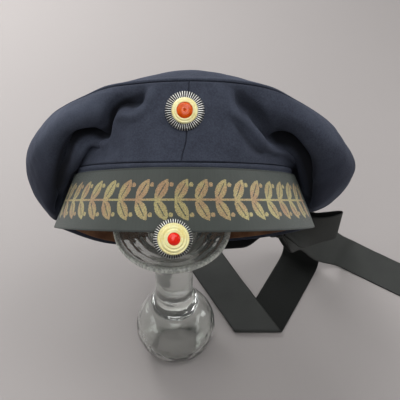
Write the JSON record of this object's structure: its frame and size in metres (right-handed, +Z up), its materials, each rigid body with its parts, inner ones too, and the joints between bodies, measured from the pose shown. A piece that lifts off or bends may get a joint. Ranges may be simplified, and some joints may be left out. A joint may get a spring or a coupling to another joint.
{
  "type": "sailor cap on a glass stand",
  "caption": "Dark navy wool sailor cap with a soft wide crown, a ribbon tied in a bow and round cockades, tipped back on an upturned stemmed glass.",
  "frame": {"origin": "centre of the bounding box at table level, where the glass's rim and the ribbon's tails rest", "axes": "+X to the picture's right, along the longest extent; -Y towards the cap's front; +Z up"},
  "size_m": [0.352, 0.225, 0.3025],
  "materials": {
    "wool": "dense dark navy wool, brushed",
    "silk": "ribbed silk ribbon, nearly black, with a woven gold ornament along the band",
    "leather": "worn brown leather",
    "glass": "clear polished glass",
    "silver": "silvered metal with black in its grooves",
    "cream": "pale gold gloss",
    "red": "red gloss enamel"
  },
  "bodies": {
    "root": {"glass_stand": "glass", "head_band": "wool", "sweatband": "leather", "cap_ribbon": "silk", "crown_side_right": "wool", "crown_side_left": "wool", "crown_top": "wool", "cockade_upper_ring": "silver", "cockade_upper_dome": "cream", "cockade_upper_boss": "red", "cockade_lower_ring": "silver", "cockade_lower_dome": "cream", "cockade_lower_boss": "red", "bow_loop_left": "silk", "bow_loop_right": "silk", "bow_knot": "silk", "ribbon_tail_right": "silk", "ribbon_tail_left": "silk"}
  },
  "joints": []
}
